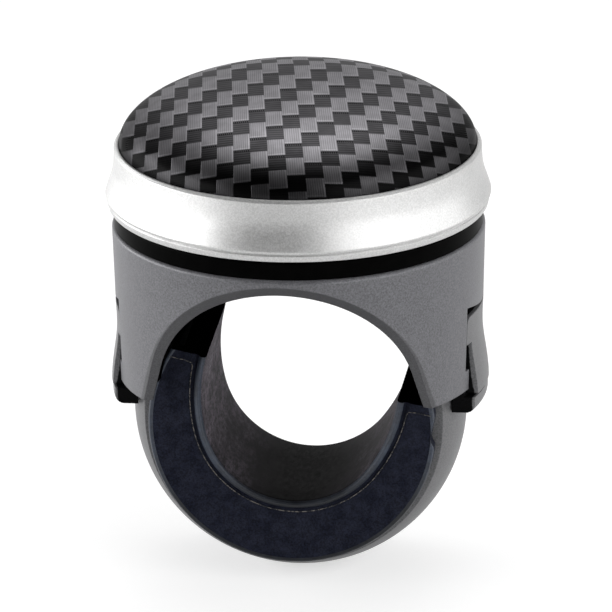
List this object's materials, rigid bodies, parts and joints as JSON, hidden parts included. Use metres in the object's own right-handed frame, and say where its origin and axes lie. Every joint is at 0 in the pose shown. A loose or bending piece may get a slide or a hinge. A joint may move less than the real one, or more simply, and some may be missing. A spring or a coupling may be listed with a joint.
{
  "type": "steering wheel spinner knob",
  "caption": "Domed spinner knob that turns freely on a saddle; a ratcheted hoop with a rubber liner clamps the saddle to a steering wheel rim",
  "frame": {"origin": "centre of the lower arc of the steering wheel rim's section, midway along the clamp", "axes": "+Y along the rim through the clamp, +Z from the rim up through the knob, +X across; the pictured side faces -Y"},
  "size_m": [0.0679, 0.068, 0.0894],
  "materials": {
    "rubber_black": "moulded rubber liner, fine matt grain",
    "plastic_grey": "satin painted plastic, fine grain",
    "plastic_black": "plain black moulding",
    "rubber_pad": "soft grip pad",
    "collar_black": "smooth black ring",
    "satin_silver": "satin plated ring",
    "weave_cap": "woven fibre pattern under clear coat",
    "steel": "plain zinc-plated steel",
    "bearing_steel": "ground bearing steel",
    "cage_brass": "pressed brass"
  },
  "bodies": {
    "liner": {"clamp_liner": "rubber_black"},
    "hoop": {"clamp_hoop": "plastic_grey"},
    "saddle": {"saddle_housing": "plastic_grey", "saddle_pad": "rubber_pad", "collar_ring": "collar_black", "spindle_bolt": "steel", "bearing_spacer": "steel", "bearing_inner_race": "bearing_steel", "spindle_washer": "steel", "lock_nut": "steel", "lever_pin_left": "steel", "lever_pin_right": "steel", "lever_spring_left": "steel", "lever_spring_right": "steel"},
    "lever_left": {"release_lever_left": "plastic_black", "lever_cover_left": "plastic_grey"},
    "lever_right": {"release_lever_right": "plastic_black", "lever_cover_right": "plastic_grey"},
    "head": {"dome_cap": "weave_cap", "bezel_ring": "satin_silver", "head_base": "plastic_black", "bearing_outer_race": "bearing_steel", "retaining_ring": "steel", "head_screws": "steel"},
    "cage": {"bearing_cage": "cage_brass", "bearing_balls": "bearing_steel"}
  },
  "joints": [
    {"name": "liner_turn", "type": "hinge", "parent": "liner", "child": "hoop", "pos_m": [-0.00048, 0, -0.00225], "axis": [0, 1, 0], "range_deg": [0, 24]},
    {"name": "hoop_slide", "type": "slide", "parent": "hoop", "child": "saddle", "axis": [0, 0, 1], "range_m": [0, 0.0125]},
    {"name": "lever_left", "type": "hinge", "parent": "saddle", "child": "lever_left", "pos_m": [-0.02908, 0, 0.0153], "axis": [0, 1, 0], "range_deg": [0, 8], "stiffness_Nm_per_rad": 0.02, "springref_deg": -20.05},
    {"name": "lever_right", "type": "hinge", "parent": "saddle", "child": "lever_right", "pos_m": [0.02812, 0, 0.0153], "axis": [0, -1, 0], "range_deg": [0, 8], "stiffness_Nm_per_rad": 0.02, "springref_deg": -20.05},
    {"name": "head_spin", "type": "hinge", "parent": "saddle", "child": "head", "pos_m": [-0.00048, 0, 0.0402], "axis": [0, 0, 1], "continuous": true},
    {"name": "cage_spin", "type": "hinge", "parent": "saddle", "child": "cage", "pos_m": [-0.00048, 0, 0.0402], "axis": [0, 0, 1], "continuous": true}
  ],
  "couplings": [
    {"joint": "cage_spin", "follows": "head_spin", "ratio": 0.6411}
  ]
}
